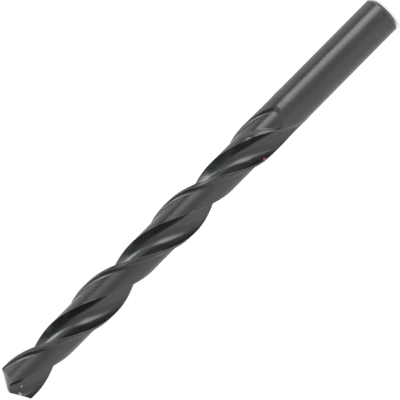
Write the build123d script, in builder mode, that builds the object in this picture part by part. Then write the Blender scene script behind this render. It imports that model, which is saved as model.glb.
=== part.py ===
from build123d import *
import os
from math import asin, cos, degrees, hypot, radians, sin, sqrt, tan

# A right-hand two-flute twist drill of jobber length.  Sizes are in millimetres and degrees.
# It stands on its shank end: the origin is the centre of that end face and the point is up.
# Both halves of the drill are alike, so each cutter is made once and used at 0 and 180 degrees.

# Bar
DRILL_DIAMETER = 10.32
SHANK_DIAMETER = 10.20
OVERALL_LENGTH = 132.0
SHANK_CHAMFER = 0.85
SHANK_STEP_LENGTH = 1.5

# Flutes
FLUTE_LENGTH = 98.9
LEAD = 56.0
FLUTE_ANGLE = 91.0
FLUTE_FLOOR_RADIUS = 2.5
WEB_AT_POINT = 1.4
WEB_AT_SHANK = 2.3
RUNOUT_LENGTH = 16.5

# Margins and body clearance
BODY_DIAMETER = 8.66
MARGIN_ANGLE = 10.0
MARGIN_FILLET = 0.45
FILLET_SINK = 0.03
CLEARANCE_LENGTH = 94.2
CLEARANCE_OVERRUN = 7.0
CLEARANCE_WALL_LEAN = 12.0
RAMP_SLOPE = 30.0
RAMP_SKEW = 38.0

# Point
POINT_ANGLE = 120.0
FLANK_AXIS_ACROSS = 1.4
FLANK_AXIS_AHEAD = 1.2
FLANK_TILT = 5.0

# Reach of the cutters past the bar, the most twist between two of their cross-sections, and
# the number of narrow flats that stand for the round floor of a flute
CUTTER_REACH = 2.5
STATION_TWIST = 15.0
FLOOR_FLATS = 6

radius = DRILL_DIAMETER / 2
shank_radius = SHANK_DIAMETER / 2
body_radius = BODY_DIAMETER / 2
cutter_radius = radius + CUTTER_REACH
cutter_top = OVERALL_LENGTH + CUTTER_REACH
flute_end = OVERALL_LENGTH - FLUTE_LENGTH
runout_start = flute_end + RUNOUT_LENGTH
clearance_end = OVERALL_LENGTH - CLEARANCE_LENGTH
land_angle = 180 - FLUTE_ANGLE
wheel_radius = (RUNOUT_LENGTH**2 + radius**2) / (2 * radius)

# The lips lie half a web ahead of the drill's axis, and run along X at the point.
point_slope = 1 / tan(radians(POINT_ANGLE / 2))
half_web = WEB_AT_POINT / 2
lip_reach = sqrt(radius**2 - half_web**2)
flank_reach = hypot(lip_reach + FLANK_AXIS_ACROSS, FLANK_AXIS_AHEAD - half_web)
flank_apex_rise = point_slope * hypot(FLANK_AXIS_ACROSS, FLANK_AXIS_AHEAD)
corner_level = OVERALL_LENGTH - point_slope * flank_reach + flank_apex_rise
corner_angle = degrees(asin(half_web / radius))


def polar(distance, angle):
    return Vector(distance, 0).rotate(Axis.Z, angle)


def flats_about(centre, start, turn):
    """Points of the narrow flats that the round floor of a flute is made in."""
    arm = start - centre
    return [centre + arm.rotate(Axis.Z, turn * flat / FLOOR_FLATS) for flat in range(FLOOR_FLATS + 1)]


def twist_at(z):
    """Angle of the first leading edge at height z."""
    return corner_angle + 360 * (z - corner_level) / LEAD


def section_plane(z):
    """Plane across the drill at height z, with its X along the first leading edge."""
    return Plane.XY.offset(z).rotated((0, 0, twist_at(z)))


def stations(low, high):
    """Heights of evenly spaced cross-sections between two levels."""
    count = 1 + int((high - low) * 360 / (LEAD * STATION_TWIST))
    return [low + (high - low) * step / count for step in range(count + 1)]


def half_web_at(z):
    """The web thickens evenly from the point to the end of the flutes."""
    share = (OVERALL_LENGTH - z) / FLUTE_LENGTH
    return (WEB_AT_POINT + (WEB_AT_SHANK - WEB_AT_POINT) * share) / 2


def lift_at(z):
    """How far the flute has risen at height z, along the arc of the grinding wheel's rim."""
    travel = max(0, runout_start - z)
    return wheel_radius - sqrt(wheel_radius**2 - travel**2)


def wall_foot(corner, floor_centre, side):
    """Where a flat wall from an outer corner touches the round floor."""
    to_centre = floor_centre - corner
    wall_length = sqrt(to_centre.length**2 - FLUTE_FLOOR_RADIUS**2)
    turn = degrees(asin(FLUTE_FLOOR_RADIUS / to_centre.length))
    return corner + to_centre.normalized().rotate(Axis.Z, side * turn) * wall_length


def flute_section(z):
    """One flute: the rake wall at a leading edge, the round floor and the wall up to a heel."""
    lift = polar(lift_at(z), FLUTE_ANGLE)
    lip_corner = polar(radius, 0) + lift
    heel_corner = polar(body_radius, FLUTE_ANGLE) + lift
    floor_centre = polar(half_web_at(z) + FLUTE_FLOOR_RADIUS, FLUTE_ANGLE / 2) + lift
    rake_foot = wall_foot(lip_corner, floor_centre, 1)
    heel_foot = wall_foot(heel_corner, floor_centre, -1)
    floor_turn = -(rake_foot - floor_centre).get_angle(heel_foot - floor_centre)
    rake_top = lip_corner + (lip_corner - rake_foot).normalized() * CUTTER_REACH
    heel_top = heel_corner + (heel_corner - heel_foot).normalized() * CUTTER_REACH
    with BuildSketch(section_plane(z)) as section:
        with BuildLine():
            Line(rake_top, rake_foot)
            Polyline(flats_about(floor_centre, rake_foot, floor_turn))
            Line(heel_foot, heel_top)
            Polyline(heel_top, (rake_top.X, heel_top.Y), rake_top)
        make_face()
    return section.sketch


def clearance_section(z):
    """Space over one land: the step behind its margin, with a fillet at its foot, to past the heel."""
    step_angle = -MARGIN_ANGLE
    wall_angle = -land_angle - CLEARANCE_OVERRUN
    fillet_distance = body_radius + MARGIN_FILLET - FILLET_SINK
    fillet_centre = polar(fillet_distance, step_angle - degrees(asin(MARGIN_FILLET / fillet_distance)))
    step_foot = polar(sqrt(fillet_distance**2 - MARGIN_FILLET**2), step_angle)
    fillet_foot = fillet_centre - fillet_centre.normalized() * MARGIN_FILLET
    to_corner = (step_foot - fillet_centre + fillet_foot - fillet_centre).normalized()
    step_top = polar(cutter_radius, step_angle)
    clearance_corner = polar(body_radius - FILLET_SINK, wall_angle)
    wall_top = polar(cutter_radius, wall_angle - CLEARANCE_WALL_LEAN)
    middle_angle = (step_angle + wall_angle) / 2
    with BuildSketch(section_plane(z)) as section:
        with BuildLine():
            Line(step_top, step_foot)
            ThreePointArc(step_foot, fillet_centre + to_corner * MARGIN_FILLET, fillet_foot)
            ThreePointArc(fillet_foot, polar(body_radius - FILLET_SINK, middle_angle), clearance_corner)
            Line(clearance_corner, wall_top)
            ThreePointArc(wall_top, polar(cutter_radius, middle_angle), step_top)
        make_face()
    return section.sketch


def ramp_plane():
    """Plane of the steep end of the clearance: skewed across the land and sloping up to the bar."""
    land_middle = twist_at(clearance_end) - (MARGIN_ANGLE + land_angle) / 2
    outward = polar(1, land_middle)
    ahead = polar(1, land_middle + 90)
    toward_point = Vector(0, 0, cos(radians(RAMP_SKEW))) + ahead * sin(radians(RAMP_SKEW))
    normal = outward * cos(radians(RAMP_SLOPE)) + toward_point * sin(radians(RAMP_SLOPE))
    foot = polar(body_radius, land_middle) + Vector(0, 0, clearance_end)
    return Plane(origin=foot, z_dir=normal)


def flank_plane():
    """Plane at the tip of one flank's cone, which leans back so that the land falls behind its lip."""
    tip = Vector(-FLANK_AXIS_ACROSS, FLANK_AXIS_AHEAD, flank_apex_rise).rotate(Axis.X, FLANK_TILT)
    lean = Vector(0, 0, 1).rotate(Axis.X, FLANK_TILT)
    return Plane(origin=tip + Vector(0, 0, OVERALL_LENGTH), x_dir=(1, 0, 0), z_dir=lean)


with BuildPart() as flute_cutter:
    for height in stations(flute_end, cutter_top):
        add(flute_section(height))
    loft()

with BuildPart() as clearance_cutter:
    for height in stations(flute_end, cutter_top):
        add(clearance_section(height))
    loft()
    Cylinder(body_radius, cutter_top, align=(Align.CENTER, Align.CENTER, Align.MIN), mode=Mode.SUBTRACT)
    split(bisect_by=ramp_plane(), keep=Keep.TOP)

flank_depth = point_slope * 2 * cutter_radius + flank_apex_rise
with BuildPart() as flank_cutter:
    with Locations((0, 0, cutter_top)):
        Cylinder(cutter_radius, flank_depth, align=(Align.CENTER, Align.CENTER, Align.MAX))
    with Locations(flank_plane().location):
        Cone(
            bottom_radius=2 * flank_depth / point_slope,
            top_radius=0,
            height=2 * flank_depth,
            align=(Align.CENTER, Align.CENTER, Align.MAX),
            mode=Mode.SUBTRACT,
        )

with BuildPart() as twist_drill:
    with BuildSketch(Plane.XZ):
        with BuildLine():
            Polyline(
                (0, 0),
                (shank_radius - SHANK_CHAMFER, 0),
                (shank_radius, SHANK_CHAMFER),
                (shank_radius, flute_end - SHANK_STEP_LENGTH),
                (radius, flute_end),
                (radius, OVERALL_LENGTH + flank_apex_rise),
                (0, OVERALL_LENGTH + flank_apex_rise),
                close=True,
            )
        make_face()
    revolve(axis=Axis.Z)
    for cutter in (flute_cutter, clearance_cutter, flank_cutter):
        with PolarLocations(0, 2):
            add(cutter.part, mode=Mode.SUBTRACT)

twist_drill.part.label = "twist_drill"
os.makedirs("parts", exist_ok=True)
export_step(twist_drill.part, "parts/twist_drill.step")
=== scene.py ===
import bpy
import numpy as np
from mathutils import Matrix, Vector


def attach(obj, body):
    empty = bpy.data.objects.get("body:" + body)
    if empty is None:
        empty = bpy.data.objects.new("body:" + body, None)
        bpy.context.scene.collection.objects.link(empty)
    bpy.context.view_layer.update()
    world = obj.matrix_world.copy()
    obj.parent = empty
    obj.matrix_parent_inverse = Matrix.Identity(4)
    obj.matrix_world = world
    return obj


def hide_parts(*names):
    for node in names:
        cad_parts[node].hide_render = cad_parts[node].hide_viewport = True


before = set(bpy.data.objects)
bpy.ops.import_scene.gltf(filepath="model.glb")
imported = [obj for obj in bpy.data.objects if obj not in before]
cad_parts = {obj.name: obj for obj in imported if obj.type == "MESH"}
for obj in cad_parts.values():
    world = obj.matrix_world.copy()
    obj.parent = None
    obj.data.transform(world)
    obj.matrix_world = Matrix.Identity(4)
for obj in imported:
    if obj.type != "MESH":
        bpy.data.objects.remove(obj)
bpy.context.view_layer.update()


# --- The ground bar -------------------------------------------------------------------------
# A straight rod of high-speed steel, turned and ground round, with a small chamfer on its back
# end and a shank a touch thinner than the cutting diameter.  All sizes here are in millimetres.

DRILL_RADIUS = 5.16
SHANK_RADIUS = 5.10
LENGTH = 132.0
SHANK_CHAMFER = 0.85
SHANK_STEP = 1.5
FLUTE_END = 33.1
SPARE = 2.5  # how far a cutter reaches past the steel it cuts
BAR_TOP = LENGTH + SPARE / 2
BAR_SIDES = 240
BAR_RINGS = 110
FIRST_RING = 1.2


def closed_rings(points, name):
    """A closed skin over rings of points: each ring is joined to the next, and both ends are capped."""
    rings, around = points.shape[:2]
    ring, place = np.meshgrid(np.arange(rings - 1), np.arange(around), indexing="ij")
    beside = (place + 1) % around
    here, above = ring * around, (ring + 1) * around
    corners = (here + place, here + beside, above + beside, above + place)
    faces = np.stack(corners, axis=-1).reshape(-1, 4).tolist()
    faces.append(list(range(around))[::-1])
    faces.append(list(range((rings - 1) * around, rings * around)))
    mesh = bpy.data.meshes.new(name)
    mesh.from_pydata(points.reshape(-1, 3).tolist(), [], faces)
    return bpy.data.objects.new(name, mesh)


def turned_bar():
    """Each ring is a circle whose radius is read along the profile, with a ring at each bend of it."""
    profile = np.array(
        [
            (0.0, SHANK_RADIUS - SHANK_CHAMFER),
            (SHANK_CHAMFER, SHANK_RADIUS),
            (FLUTE_END - SHANK_STEP, SHANK_RADIUS),
            (FLUTE_END, DRILL_RADIUS),
            (BAR_TOP, DRILL_RADIUS),
        ]
    )
    height = np.union1d(profile[:, 0], np.linspace(FIRST_RING, BAR_TOP, BAR_RINGS))[:, None]
    angle = np.linspace(0, 2 * np.pi, BAR_SIDES, endpoint=False)
    radius = np.interp(height, profile[:, 0], profile[:, 1])
    rings = np.stack([radius * np.cos(angle), radius * np.sin(angle), height + 0 * angle], axis=-1)
    return closed_rings(rings, "bar")


bar = turned_bar()


# --- The two flutes -------------------------------------------------------------------------
# Two right-hand spiral grooves that a profiled wheel has ground: a hooked, hollow rake side, a
# round floor and a flat wall up to the heel.  The web between them thickens toward the shank, and
# the wheel has lifted out of the bar along the arc of its own rim.

LEAD = 56.0
FLUTE_ANGLE = np.radians(91.0)
FLOOR_RADIUS = 2.5
RAKE_RADIUS = 4.5
BODY_RADIUS = 4.33
WEB_AT_POINT = 1.4
WEB_AT_SHANK = 2.3
RUNOUT = 16.5
POINT_ANGLE = np.radians(120.0)
POINT_SLOPE = 1 / np.tan(POINT_ANGLE / 2)
FLANK_ACROSS = 1.4
FLANK_AHEAD = 1.2
FLANK_RISE = POINT_SLOPE * np.hypot(FLANK_ACROSS, FLANK_AHEAD)
CORNER_ANGLE = np.arcsin(WEB_AT_POINT / 2 / DRILL_RADIUS)
LIP_REACH = np.sqrt(DRILL_RADIUS**2 - (WEB_AT_POINT / 2) ** 2)
CORNER_REACH = np.hypot(LIP_REACH + FLANK_ACROSS, FLANK_AHEAD - WEB_AT_POINT / 2)
CORNER_HEIGHT = LENGTH + FLANK_RISE - POINT_SLOPE * CORNER_REACH
WHEEL_RADIUS = (RUNOUT**2 + DRILL_RADIUS**2) / (2 * DRILL_RADIUS)
FLUTE_RINGS = 240
RAKE_STEPS, FLOOR_STEPS, WALL_STEPS = 22, 24, 10


def twist(z):
    """The leading edge turns once round the bar in each lead."""
    return CORNER_ANGLE + 2 * np.pi * (z - CORNER_HEIGHT) / LEAD


def toward(distance, angle):
    """Points at a distance and an angle from the middle of a cross-section."""
    return np.stack(np.broadcast_arrays(distance * np.cos(angle), distance * np.sin(angle)), axis=-1)


def turn(points, angle):
    """Points of a cross-section turned about its middle."""
    c, s = np.cos(angle), np.sin(angle)
    x, y = points[..., 0], points[..., 1]
    return np.stack([x * c - y * s, x * s + y * c], axis=-1)


def between(start, end, steps):
    """Points along the straight line from start up to, but without, the end."""
    share = (np.arange(steps) / steps)[:, None]
    return start[..., None, :] * (1 - share) + end[..., None, :] * share


def wall_foot(corner, centre, side):
    """Where the straight wall from a corner runs into the round floor, as its tangent."""
    to_centre = centre - corner
    away = np.linalg.norm(to_centre, axis=-1)
    wall = np.sqrt(away**2 - FLOOR_RADIUS**2) / away
    return corner + turn(to_centre * wall[..., None], side * np.arcsin(FLOOR_RADIUS / away))


def unit(vector):
    """The same direction, one long."""
    return vector / np.linalg.norm(vector, axis=-1, keepdims=True)


def arc(centre, start, end, steps):
    """Points turned about a centre the short way from start up to, but without, the end."""
    arm, last = start - centre, end - centre
    ahead = arm[:, 0] * last[:, 1] - arm[:, 1] * last[:, 0]
    sweep = np.arctan2(ahead, np.sum(arm * last, axis=-1))[:, None]
    return centre[:, None] + turn(arm[:, None], sweep * np.arange(steps) / steps)


def rake_centre(lip, centre):
    """The middle of the hollow rake side: its wider circle holds the floor's circle, touches it from
    outside and passes through the lip."""
    reach = RAKE_RADIUS - FLOOR_RADIUS
    to_lip = lip - centre
    away = np.linalg.norm(to_lip, axis=-1)
    opening = np.arccos((RAKE_RADIUS**2 - reach**2 - away**2) / (2 * reach * away))
    return centre - reach * turn(unit(to_lip), -opening)


def flute_cutter():
    """Each ring is the wheel's profile at one height: wide arc, floor arc and wall, lifted toward the
    heel where the wheel has left the bar, then turned by the twist."""
    z = np.linspace(FLUTE_END, LENGTH + SPARE, FLUTE_RINGS)
    web = WEB_AT_POINT + (WEB_AT_SHANK - WEB_AT_POINT) * (LENGTH - z) / (LENGTH - FLUTE_END)
    travel = np.maximum(0, FLUTE_END + RUNOUT - z)
    lift = toward(WHEEL_RADIUS - np.sqrt(WHEEL_RADIUS**2 - travel**2), FLUTE_ANGLE)
    lip = toward(DRILL_RADIUS, 0.0) + lift
    heel = toward(BODY_RADIUS, FLUTE_ANGLE) + lift
    floor_centre = toward(web / 2 + FLOOR_RADIUS, FLUTE_ANGLE / 2) + lift
    hook_centre = rake_centre(lip, floor_centre)
    rake_foot = floor_centre + FLOOR_RADIUS * unit(floor_centre - hook_centre)
    heel_foot = wall_foot(heel, floor_centre, -1)
    rake_top = lip + turn(unit(hook_centre - lip), -np.pi / 2) * SPARE
    heel_top = heel + unit(heel - heel_foot) * SPARE
    outer = np.stack([rake_top[:, 0], heel_top[:, 1]], axis=-1)
    ring = np.concatenate(
        [
            rake_top[:, None],
            arc(hook_centre, lip, rake_foot, RAKE_STEPS),
            arc(floor_centre, rake_foot, heel_foot, FLOOR_STEPS),
            between(heel_foot, heel_top, WALL_STEPS),
            heel_top[:, None],
            outer[:, None],
        ],
        axis=1,
    )
    ring = turn(ring, twist(z)[:, None])
    height = np.broadcast_to(z[:, None, None], ring.shape[:2] + (1,))
    return closed_rings(np.concatenate([ring, height], axis=-1)[::-1], "flute_cutter")


flute = flute_cutter()


# --- The body clearance ---------------------------------------------------------------------
# Behind each leading edge a narrow margin is left at full size, and the rest of the land is
# ground down, with a hollow where the grinding wheel's corner ran.  At the shank end the ground
# band stops at a short slope, set askew across the land, and its far side climbs to the heel.

MARGIN_ANGLE = np.radians(10.0)
FILLET = 1.5
LAND_ANGLE = np.pi - FLUTE_ANGLE
OVERRUN = np.radians(7.0)
WALL_LEAN = np.radians(12.0)
CLEARANCE_END = 37.8
CLEARANCE_RINGS = 240
STEP_STEPS, HOLLOW_STEPS, BODY_STEPS, OUTER_STEPS = 4, 16, 60, 24
RAMP_SLOPE = np.radians(38.0)
RAMP_SKEW = np.radians(26.0)
RAMP_BELOW, RAMP_ABOVE = 10, 7
HALVINGS = 40
CLIMB_HEIGHTS = (39.8, 41.0, 42.3, 44.0, 45.8, 47.6)
CLIMB_ANGLES = np.radians((4.0, 9.0, 17.0, 25.0, 30.0, 30.0))
CLIMB_RISES = (0.75, 0.85, 0.9, 0.9, 0.8, 0.0)


def clearance_cutter():
    """Each ring is the ground band at one height: line down to the margin's edge, hollow arc, arc of
    the body, wall past the heel and an outer arc.  Each line of points up the spiral starts on the
    plane of the end slope, at a height found by halving."""
    step, wall, top = -MARGIN_ANGLE, -LAND_ANGLE - OVERRUN, DRILL_RADIUS + SPARE
    deep = BODY_RADIUS + FILLET
    spread = np.arccos((deep**2 + DRILL_RADIUS**2 - FILLET**2) / (2 * deep * DRILL_RADIUS))
    edge, foot = toward(DRILL_RADIUS, step), toward(BODY_RADIUS, step - spread)
    centre = toward(deep, step - spread)
    ring = np.concatenate(
        [
            between(toward(top, step), edge, STEP_STEPS),
            arc(centre[None], edge[None], foot[None], HOLLOW_STEPS)[0],
            toward(BODY_RADIUS, np.linspace(step - spread, wall, BODY_STEPS)),
            toward(top, np.linspace(wall - WALL_LEAN, step, OUTER_STEPS))[:-1],
        ]
    )
    middle = twist(CLEARANCE_END) - (MARGIN_ANGLE + LAND_ANGLE) / 2
    outward, ahead = toward(1.0, middle), toward(1.0, middle + np.pi / 2)
    slope = outward * np.cos(RAMP_SLOPE) + ahead * np.sin(RAMP_SLOPE) * np.sin(RAMP_SKEW)
    rise = np.sin(RAMP_SLOPE) * np.cos(RAMP_SKEW)
    low = np.full(len(ring), CLEARANCE_END - RAMP_BELOW)
    high = np.full(len(ring), CLEARANCE_END + RAMP_ABOVE)
    for _ in range(HALVINGS):
        half = (low + high) / 2
        over = (turn(ring, twist(half)) - BODY_RADIUS * outward) @ slope + rise * (half - CLEARANCE_END)
        low, high = np.where(over < 0, half, low), np.where(over < 0, high, half)
    share = np.linspace(0, 1, CLEARANCE_RINGS)[:, None]
    z = low + (LENGTH + SPARE - low) * share
    far = np.linalg.norm(ring, axis=-1)
    width = np.interp(z, CLIMB_HEIGHTS, CLIMB_ANGLES)
    past = np.maximum(0, 1 - (LAND_ANGLE + np.arctan2(ring[:, 1], ring[:, 0])) / width)
    gain = np.interp(z, CLIMB_HEIGHTS, CLIMB_RISES) / BODY_RADIUS
    climbed = 1 + np.where(far < BODY_RADIUS + 0.001, past * gain, 0)
    points = np.concatenate([turn(ring[None] * climbed[..., None], twist(z)), z[..., None]], axis=-1)
    return closed_rings(points, "clearance_cutter")


clearance = clearance_cutter()


# --- The point ------------------------------------------------------------------------------
# Each half of the point is ground as part of a cone whose tip stands off the drill's axis and
# leans back, so that the flank falls away behind its lip.  The two meet in the chisel edge.

FLANK_TILT = np.radians(5.0)
CONE_SIDES = 360
CONE_SIZES = (0.002, 1.5, 3, 4.5, 6, 7.5, 9, 11)
LID_HEIGHT = 3.0


def flank_cutter():
    """All that lies above a cone: rings from a small one at its tip, down its slope, and up to a lid."""
    c, s = np.cos(FLANK_TILT), np.sin(FLANK_TILT)
    tip_height = LENGTH + FLANK_AHEAD * s + FLANK_RISE * c
    tip = np.array([-FLANK_ACROSS, FLANK_AHEAD * c - FLANK_RISE * s, tip_height])
    axis, across, ahead = np.array([0, -s, c]), np.array([1, 0, 0]), np.array([0, c, s])
    angle = np.linspace(0, 2 * np.pi, CONE_SIDES, endpoint=False)[:, None]
    spoke = across * np.cos(angle) + ahead * np.sin(angle)
    away = np.array(CONE_SIZES)
    slope = tip + away[:, None, None] * (spoke - axis * POINT_SLOPE)
    lid = tip + away[::-1, None, None] * spoke + axis * LID_HEIGHT
    return closed_rings(np.concatenate([slope, lid]), "flank_cutter")


flank = flank_cutter()


# --- The finished drill ---------------------------------------------------------------------
# The bar after all its cuts: one piece of hardened steel, with crisp ground edges.  Each cutter
# is used on one side and then on the other, half a turn round.

METRES = 0.001
SHARP_EDGE = np.radians(24.0)


def cut(solid, cutter):
    """The solid with the cutter taken away on both sides."""
    for side in (0, np.pi):
        tool = bpy.data.objects.new("tool", cutter.data.copy())
        tool.data.transform(Matrix.Rotation(side, 4, "Z"))
        bpy.context.scene.collection.objects.link(tool)
        step = solid.modifiers.new("cut", "BOOLEAN")
        step.operation = "DIFFERENCE"
        step.solver = "EXACT"
        step.object = tool
        bpy.context.view_layer.update()
        made = bpy.data.meshes.new_from_object(solid.evaluated_get(bpy.context.evaluated_depsgraph_get()))
        solid.modifiers.clear()
        solid.data = made
        bpy.data.objects.remove(tool)


drill = bar
drill.name = "twist_drill_body"
bpy.context.scene.collection.objects.link(drill)
for cutter in (flute, clearance, flank):
    cut(drill, cutter)
drill.data.transform(Matrix.Scale(METRES, 4))
drill.data.shade_smooth()
drill.data.set_sharp_from_angle(angle=SHARP_EDGE)
even = drill.modifiers.new("even_shading", "WEIGHTED_NORMAL")
even.keep_sharp = True

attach(drill, "root")
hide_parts("twist_drill")


# --- The finish -----------------------------------------------------------------------------
# Black oxide, a thin blue-black layer that steam leaves on the ground steel.  It keeps the fine
# lines of every grinding wheel, and has worn through to bare metal along the edges, whose pale strips are
# also painted highlights of the rounded edges; the flutes carry a painted teal tint of shade.

MILLIMETRES = 1000.0
FLUTE_TOP = 4.3
EDGE_STRIPS_FROM, EDGE_STRIPS_FULLY = 50.0, 58.0
LIP_STRIP, HEEL_STRIP, MARGIN_STRIP = 0.2, 0.18, 0.16
MOTTLE_SIZE, CLOUD_SIZE, CHIP_SIZE = 0.42, 3.0, 0.9
LINE_WIDTH, BAND_WIDTH, RING_WIDTH = 0.16, 0.7, 0.14
SPECKS_PER_MM = 0.55
SMOOTHEST, ROUGHEST, RUST_ROUGHER = 0.26, 0.3, 0.45
OXIDE_METAL, RUST_METAL, FLUTE_DULLING = 0.94, 0.1, 0.12
RELIEF_HEIGHT = 0.000002
HEEL_AT = (float(BODY_RADIUS * np.cos(FLUTE_ANGLE)), float(BODY_RADIUS * np.sin(FLUTE_ANGLE)), 0.0)
LIP_AT = (DRILL_RADIUS, 0.0, 0.0)
MARGIN_AT = (
    float(DRILL_RADIUS * np.cos(MARGIN_ANGLE)),
    float(-DRILL_RADIUS * np.sin(MARGIN_ANGLE)),
    0.0,
)
BURR_AT, BURR_RADIUS, BURR_TOP = (-2.39, -0.17, 130.5), 0.27, 130.75
POINT_SPECK_AT = (-1.36, -0.04, 128.9)
SHANK_SPECK_AT = (-0.32, -5.09, 2.26)
RUST_AT = (-4.56, -1.78, 47.4)
GROUND = (0.1, 0.1, 0.1, 1)
MATTE = (0.084, 0.086, 0.086, 1)
CLOUDED = (0.125, 0.125, 0.124, 1)
FLUTE_SHADE_TINT = (0.085, 0.089, 0.089, 1)
BARE_AND_HIGHLIGHT = (0.42, 0.42, 0.41, 1)
BRIGHT = (0.75, 0.75, 0.73, 1)
RUST = (0.55, 0.13, 0.07, 1)

finish = bpy.data.materials.new("black_oxide")
finish.use_nodes = True
nodes, links = finish.node_tree.nodes, finish.node_tree.links
shader = nodes["Principled BSDF"]
shader.inputs["Specular IOR Level"].default_value = 0.6
shader.inputs["Specular Tint"].default_value = (0.75, 0.75, 0.75, 1)


def feed(socket, source):
    """Joins a node's output to a socket, or sets the socket to a plain value."""
    if isinstance(source, bpy.types.NodeSocket):
        links.new(source, socket)
    else:
        socket.default_value = source


def reckon(operation, *sources):
    """A sum worked on numbers."""
    step = nodes.new("ShaderNodeMath")
    step.operation = operation
    for socket, source in zip(step.inputs, sources):
        feed(socket, source)
    return step.outputs[0]


def reckon_points(operation, *sources):
    """A sum worked on points, which gives a point, or a number for a length or a product."""
    step = nodes.new("ShaderNodeVectorMath")
    step.operation = operation
    for socket, source in zip(step.inputs, sources):
        feed(socket, source)
    return step.outputs["Value" if operation in ("DISTANCE", "LENGTH", "DOT_PRODUCT") else "Vector"]


def fade(value, start, end, low=0.0, high=1.0):
    """A smooth step from low at start to high at end."""
    step = nodes.new("ShaderNodeMapRange")
    step.interpolation_type = "SMOOTHSTEP"
    names = ("Value", "From Min", "From Max", "To Min", "To Max")
    for name, source in zip(names, (value, start, end, low, high)):
        feed(step.inputs[name], source)
    return step.outputs["Result"]


def grain(points, stretch, size, detail=2.0):
    """Noise over stretched points, with grains of about the size given in millimetres."""
    noise = nodes.new("ShaderNodeTexNoise")
    feed(noise.inputs["Vector"], reckon_points("MULTIPLY", points, stretch))
    noise.inputs["Scale"].default_value = 1 / size
    noise.inputs["Detail"].default_value = detail
    return noise.outputs["Fac"]


def layer(share, under, over):
    """One colour laid over another."""
    step = nodes.new("ShaderNodeMix")
    step.data_type = "RGBA"
    feed(step.inputs["Factor"], share)
    feed(step.inputs[6], under)
    feed(step.inputs[7], over)
    return step.outputs[2]


def spot(place, size):
    """A soft round spot on the surface."""
    return fade(reckon_points("DISTANCE", point, place), size, size * 0.45)


coordinates = nodes.new("ShaderNodeTexCoord")
point = nodes.new("ShaderNodeVectorMath")
point.operation = "SCALE"
point.inputs["Scale"].default_value = MILLIMETRES
links.new(coordinates.outputs["Object"], point.inputs[0])
point = point.outputs["Vector"]
split = nodes.new("ShaderNodeSeparateXYZ")
links.new(point, split.inputs[0])
along = split.outputs["Z"]
from_axis = reckon_points("LENGTH", reckon_points("MULTIPLY", point, (1, 1, 0)))

# Turning every section back by the twist lays the spiral straight, so that a pattern drawn out
# along the axis follows the flutes.
untwist = nodes.new("ShaderNodeVectorRotate")
untwist.rotation_type = "Z_AXIS"
links.new(point, untwist.inputs["Vector"])
start_angle = float(2 * np.pi * CORNER_HEIGHT / LEAD - CORNER_ANGLE)
turned_back = reckon("MULTIPLY_ADD", along, -2 * np.pi / LEAD, start_angle)
links.new(turned_back, untwist.inputs["Angle"])
straight = untwist.outputs["Vector"]
near_side = reckon_points("MULTIPLY", straight, (1, 1, 0))
far_side = reckon_points("MULTIPLY", near_side, (-1, -1, 0))

spiral = fade(along, FLUTE_END - 1.0, FLUTE_END + 1.5)
in_flute = reckon("MULTIPLY", fade(from_axis, FLUTE_TOP, FLUTE_TOP - 0.12), spiral)

mottle = grain(point, (1, 1, 0.8), MOTTLE_SIZE, 4.0)
cloud = grain(point, (1, 1, 0.5), CLOUD_SIZE)
spiral_lines = grain(straight, (1, 1, 0.03), LINE_WIDTH)
spiral_bands = grain(straight, (1, 1, 0.05), BAND_WIDTH)
ring_lines = grain(point, (0.06, 0.06, 1), RING_WIDTH)
on_shank = reckon("MULTIPLY", ring_lines, reckon("SUBTRACT", 1.0, spiral))
lines = reckon("ADD", reckon("MULTIPLY", spiral_lines, spiral), on_shank)


def near_edge(place, reach):
    """How close a point of the straightened spiral is to either of the two edges that run up it."""
    distances = [reckon_points("DISTANCE", side, place) for side in (near_side, far_side)]
    closeness = fade(reckon("MINIMUM", *distances), reach, reach * 0.3)
    return reckon("MULTIPLY", closeness, fade(along, EDGE_STRIPS_FROM, EDGE_STRIPS_FULLY))


# The oxide has gone from the edges in patches, and the same pale strips are painted highlights along the
# lip, heel and margin edges.
chipped = fade(grain(straight, (1, 1, 0.35), CHIP_SIZE, 3.0), 0.45, 0.66)
lip_wear_and_highlight = reckon("MULTIPLY", near_edge(LIP_AT, LIP_STRIP), reckon("MULTIPLY_ADD", chipped, 0.45, 0.1))
heel_wear_and_highlight = reckon("MULTIPLY", near_edge(HEEL_AT, HEEL_STRIP), reckon("MULTIPLY_ADD", chipped, 0.3, 0.06))
margin_wear_and_highlight = reckon("MULTIPLY", near_edge(MARGIN_AT, MARGIN_STRIP), reckon("MULTIPLY", chipped, 0.5))
wear_and_edge_highlight = reckon("MAXIMUM", reckon("MAXIMUM", lip_wear_and_highlight, heel_wear_and_highlight), margin_wear_and_highlight)

# Tiny bright specks lie here and there.
speckle = nodes.new("ShaderNodeTexVoronoi")
speckle.inputs["Scale"].default_value = SPECKS_PER_MM
links.new(point, speckle.inputs["Vector"])
speck_pick = nodes.new("ShaderNodeSeparateColor")
links.new(speckle.outputs["Color"], speck_pick.inputs[0])
picked = reckon("GREATER_THAN", speck_pick.outputs[0], 0.55)
specks = fade(speckle.outputs["Distance"], 0.09, 0.03)
specks = reckon("MULTIPLY", specks, reckon("MULTIPLY", picked, 0.5))

oxide = layer(fade(mottle, 0.3, 0.7), MATTE, GROUND)
oxide = layer(reckon("MULTIPLY", fade(cloud, 0.4, 0.8), 0.3), oxide, CLOUDED)
# A painted teal tint of shade is laid into the flutes.
oxide = layer(reckon("MULTIPLY", in_flute, 0.3), oxide, FLUTE_SHADE_TINT)
# Pale edge strips: bare worn metal, and painted highlights of the rounded edges.
oxide = layer(wear_and_edge_highlight, oxide, BARE_AND_HIGHLIGHT)
oxide = layer(specks, oxide, BARE_AND_HIGHLIGHT)

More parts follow.
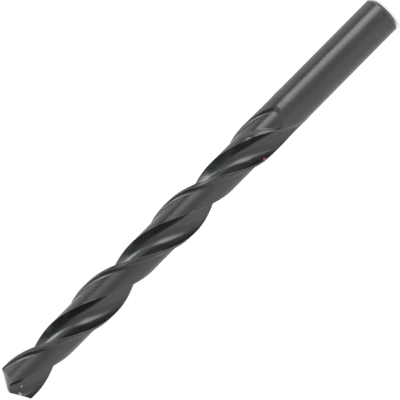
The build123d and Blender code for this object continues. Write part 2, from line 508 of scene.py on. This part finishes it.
# Marks of use: a curl of bare metal and a speck at the point, a speck near the shank's end and a
# rust spot on one leading edge, near the shank end of its flute.  The shank carries no marking.
off_ring = reckon("SUBTRACT", reckon_points("DISTANCE", point, BURR_AT), BURR_RADIUS)
burr = fade(reckon("ABSOLUTE", off_ring), 0.13, 0.04)
burr = reckon("MULTIPLY", burr, fade(along, BURR_TOP, BURR_TOP - 0.15))
marks = reckon("MAXIMUM", burr, spot(POINT_SPECK_AT, 0.2))
marks = reckon("MAXIMUM", marks, reckon("MULTIPLY", spot(SHANK_SPECK_AT, 0.16), 0.5))
rusty = spot(RUST_AT, 0.5)
oxide = layer(marks, oxide, BRIGHT)
oxide = layer(rusty, oxide, RUST)
links.new(oxide, shader.inputs["Base Color"])

# The flutes are ground finer than the lands, with an oxide that is duller toward the shank, and
# the rust is dull.
rough = fade(mottle, 0.25, 0.75, SMOOTHEST, ROUGHEST)
banded = reckon("SUBTRACT", spiral_bands, 1.2)
rough = reckon("MULTIPLY_ADD", banded, reckon("MULTIPLY", in_flute, 0.07), rough)
rough = reckon("MULTIPLY_ADD", rusty, RUST_ROUGHER, rough)
links.new(rough, shader.inputs["Roughness"])
dulled = reckon("MULTIPLY", in_flute, fade(along, 128.0, 70.0))
metal = fade(rusty, 0.0, 1.0, OXIDE_METAL, RUST_METAL)
metal = reckon("MULTIPLY_ADD", dulled, -FLUTE_DULLING, metal)
links.new(metal, shader.inputs["Metallic"])

# The grinding lines stand about a micrometre proud.
height = reckon("MULTIPLY_ADD", mottle, 0.6, reckon("MULTIPLY", lines, 0.8))
height = reckon("MULTIPLY_ADD", spiral_bands, reckon("MULTIPLY", spiral, 0.6), height)
relief = nodes.new("ShaderNodeBump")
relief.inputs["Strength"].default_value = 0.5
relief.inputs["Distance"].default_value = RELIEF_HEIGHT
links.new(height, relief.inputs["Height"])
links.new(relief.outputs["Normal"], shader.inputs["Normal"])
drill.data.materials.clear()
drill.data.materials.append(finish)


# --- The camera -----------------------------------------------------------------------------
# It looks across the standing drill from in front, rolled so that the point hangs to the lower
# left of the picture.

EYE_HEIGHT = 0.0927
EYE_DISTANCE = 0.4067
EYE_TURN = np.radians(-92.2)
EYE_DIP = np.radians(3.8)
EYE_OFFSET = 0.000293
PICTURE_ROLL = np.arctan2(0.7107, 0.7035)
FOCAL_LENGTH = 148.5
SENSOR_WIDTH = 36.0

skyward = Vector((0, 0, 1))
out = Vector((np.cos(EYE_TURN), np.sin(EYE_TURN), 0))
side = Vector((np.sin(EYE_TURN), -np.cos(EYE_TURN), 0))
forward = -out * np.cos(EYE_DIP) - skyward * np.sin(EYE_DIP)
shankward = -skyward * np.cos(EYE_DIP) + out * np.sin(EYE_DIP)
right = shankward * np.cos(PICTURE_ROLL) + side * np.sin(PICTURE_ROLL)
up = shankward * np.sin(PICTURE_ROLL) - side * np.cos(PICTURE_ROLL)
eye = out * EYE_DISTANCE + Vector((0, 0, EYE_HEIGHT)) + side * EYE_OFFSET
camera = bpy.data.objects.new("camera", bpy.data.cameras.new("camera"))
camera.data.lens = FOCAL_LENGTH
camera.data.sensor_width = SENSOR_WIDTH
camera.data.clip_start = 0.01
camera.matrix_world = Matrix(
    (
        (right.x, up.x, -forward.x, eye.x),
        (right.y, up.y, -forward.y, eye.y),
        (right.z, up.z, -forward.z, eye.z),
        (0, 0, 0, 1),
    )
)
bpy.context.scene.collection.objects.link(camera)
bpy.context.scene.camera = camera


# --- The studio -----------------------------------------------------------------------------
# A plain white floor that the drill stands on, in a white room that is dim high up in front.
# Softboxes stand beside the camera, low and high, and a grey flag stands beside the low one.

FLOOR_WIDTH = 8
FLOOR_LIFT = 0.5

scene = bpy.context.scene
scene.view_settings.view_transform = "Standard"

bpy.ops.mesh.primitive_plane_add(size=FLOOR_WIDTH, location=(0, 0, 0))
floor = bpy.context.object
floor.name = "floor"
floor.visible_glossy = False
floor.visible_shadow = False
paper = bpy.data.materials.new("floor_paper")
paper.use_nodes = True
nodes, links = paper.node_tree.nodes, paper.node_tree.links
sheet = nodes["Principled BSDF"]
sheet.inputs["Base Color"].default_value = (0.8, 0.8, 0.8, 1)
sheet.inputs["Roughness"].default_value = 0.9
sheet.inputs["Emission Color"].default_value = (1, 1, 1, 1)
seen = nodes.new("ShaderNodeLightPath").outputs["Is Camera Ray"]
links.new(reckon("MULTIPLY", seen, FLOOR_LIFT), sheet.inputs["Emission Strength"])
floor.data.materials.append(paper)


def bearing(turned, height):
    """The direction that lies so many degrees round from the right of the camera's view and so many
    above level."""
    turned, height = np.radians(turned), np.radians(height)
    return (np.cos(turned) * np.cos(height), -np.sin(turned) * np.cos(height), np.sin(height))


# The room's colour by how nearly a direction agrees with the dim place, from -1 to 1.
DIM_PLACE = bearing(92, 55)
DIM_STOPS = (
    (-1.0, (1.0, 1.0, 1.0)),
    (0.0, (1.0, 1.0, 1.0)),
    (0.5, (0.84, 0.84, 0.84)),
    (0.77, (0.68, 0.69, 0.69)),
    (0.84, (0.54, 0.57, 0.575)),
    (0.905, (0.24, 0.32, 0.34)),
    (0.96, (0.06, 0.17, 0.2)),
    (1.0, (0.03, 0.14, 0.17)),
)
FRONT_PLACE, FRONT_EDGES, FRONT_DIMNESS = bearing(92, 0), (27, 21), 0.25
SIDE_PLACE, SIDE_EDGES, SIDE_DIMNESS = bearing(124, 38), (22, 8), 0.75
BACK_GLOW = 0.6


def dimmer(heading, place, edges, dimness):
    """One outside a cone round a place and less by the dimness inside it, between two angles."""
    outer, inner = (float(np.cos(np.radians(edge))) for edge in edges)
    return fade(reckon_points("DOT_PRODUCT", heading, place), outer, inner, 1.0, 1.0 - dimness)


world = bpy.data.worlds.new("studio")
world.use_nodes = True
scene.world = world
nodes, links = world.node_tree.nodes, world.node_tree.links
room = nodes["Background"]
direction = nodes.new("ShaderNodeTexCoord").outputs["Generated"]
dimming = nodes.new("ShaderNodeValToRGB")
for place, colour in DIM_STOPS:
    stop = dimming.color_ramp.elements.new((place + 1) / 2)
    stop.color = (*colour, 1)
dimming.color_ramp.elements.remove(dimming.color_ramp.elements[0])
dimming.color_ramp.elements.remove(dimming.color_ramp.elements[-1])
nearness = reckon_points("DOT_PRODUCT", direction, DIM_PLACE)
links.new(reckon("MULTIPLY_ADD", nearness, 0.5, 0.5), dimming.inputs["Fac"])
links.new(dimming.outputs["Color"], room.inputs["Color"])

parts = nodes.new("ShaderNodeSeparateXYZ")
links.new(direction, parts.inputs[0])
behind = reckon("MULTIPLY_ADD", reckon("MAXIMUM", parts.outputs["Y"], 0.0), BACK_GLOW, 1.0)
level = reckon_points("NORMALIZE", reckon_points("MULTIPLY", direction, (1, 1, 0)))
strength = reckon("MULTIPLY", behind, dimmer(level, FRONT_PLACE, FRONT_EDGES, FRONT_DIMNESS))
strength = reckon("MULTIPLY", strength, dimmer(direction, SIDE_PLACE, SIDE_EDGES, SIDE_DIMNESS))
links.new(strength, room.inputs["Strength"])

# The camera itself sees plain white beyond the floor.
backdrop = nodes.new("ShaderNodeBackground")
backdrop.inputs["Strength"].default_value = 1.0
backdrop.inputs["Color"].default_value = (1, 1, 1, 1)
choose = nodes.new("ShaderNodeMixShader")
links.new(nodes.new("ShaderNodeLightPath").outputs["Is Camera Ray"], choose.inputs["Fac"])
links.new(room.outputs["Background"], choose.inputs[1])
links.new(backdrop.outputs["Background"], choose.inputs[2])
links.new(choose.outputs["Shader"], nodes["World Output"].inputs["Surface"])


PANEL_REACH = 0.7
FLAG_REACH = 0.75
DRILL_MIDDLE = 0.066


def panel(left, right, low, high, reach=PANEL_REACH):
    """Width, height and place of an upright rectangle that fills the bearings from left to right and
    the heights from low to high, in degrees from the drill's middle."""
    middle = np.radians(-(left + right) / 2)
    foot, top = (reach * np.tan(np.radians(edge)) for edge in (low, high))
    width = 2 * reach * np.tan(np.radians((right - left) / 2))
    centre = (np.cos(middle) * reach, np.sin(middle) * reach, DRILL_MIDDLE + (foot + top) / 2)
    facing = Matrix.Rotation(middle + np.pi / 2, 4, "Z") @ Matrix.Rotation(np.pi / 2, 4, "X")
    return width, top - foot, Matrix.Translation(centre) @ facing


def softbox(name, edges, glow):
    """A rectangle of even light, whose glow is its brightness with a white wall as one."""
    lamp = bpy.data.objects.new(name, bpy.data.lights.new(name, "AREA"))
    width, tall, place = panel(*edges)
    lamp.data.shape = "RECTANGLE"
    lamp.data.size, lamp.data.size_y = width, tall
    lamp.data.energy = glow * np.pi * width * tall
    lamp.visible_camera = False
    lamp.matrix_world = place
    scene.collection.objects.link(lamp)


softbox("low_softbox", (31, 54, -42, -7), 2.75)
softbox("low_softbox_edge", (54, 68, -40, -7), 1.3)
softbox("low_softbox_foot", (8, 31, -54, -27), 1.6)
softbox("high_softbox", (-12, 26, 20, 37), 1.5)
softbox("high_softbox_edge", (26, 60, 19, 31), 4.8)

FLAG_GREY = (0.3, 0.3, 0.3, 1)
width, tall, place = panel(8, 29, -24, 12, FLAG_REACH)
bpy.ops.mesh.primitive_plane_add(size=1)
flag = bpy.context.object
flag.name = "flag"
flag.data.transform(place @ Matrix.Diagonal((width, tall, 1, 1)))
flag.visible_camera = False
cloth = bpy.data.materials.new("flag_cloth")
cloth.use_nodes = True
weave = cloth.node_tree.nodes["Principled BSDF"]
weave.inputs["Base Color"].default_value = FLAG_GREY
weave.inputs["Roughness"].default_value = 0.9
flag.data.materials.append(cloth)
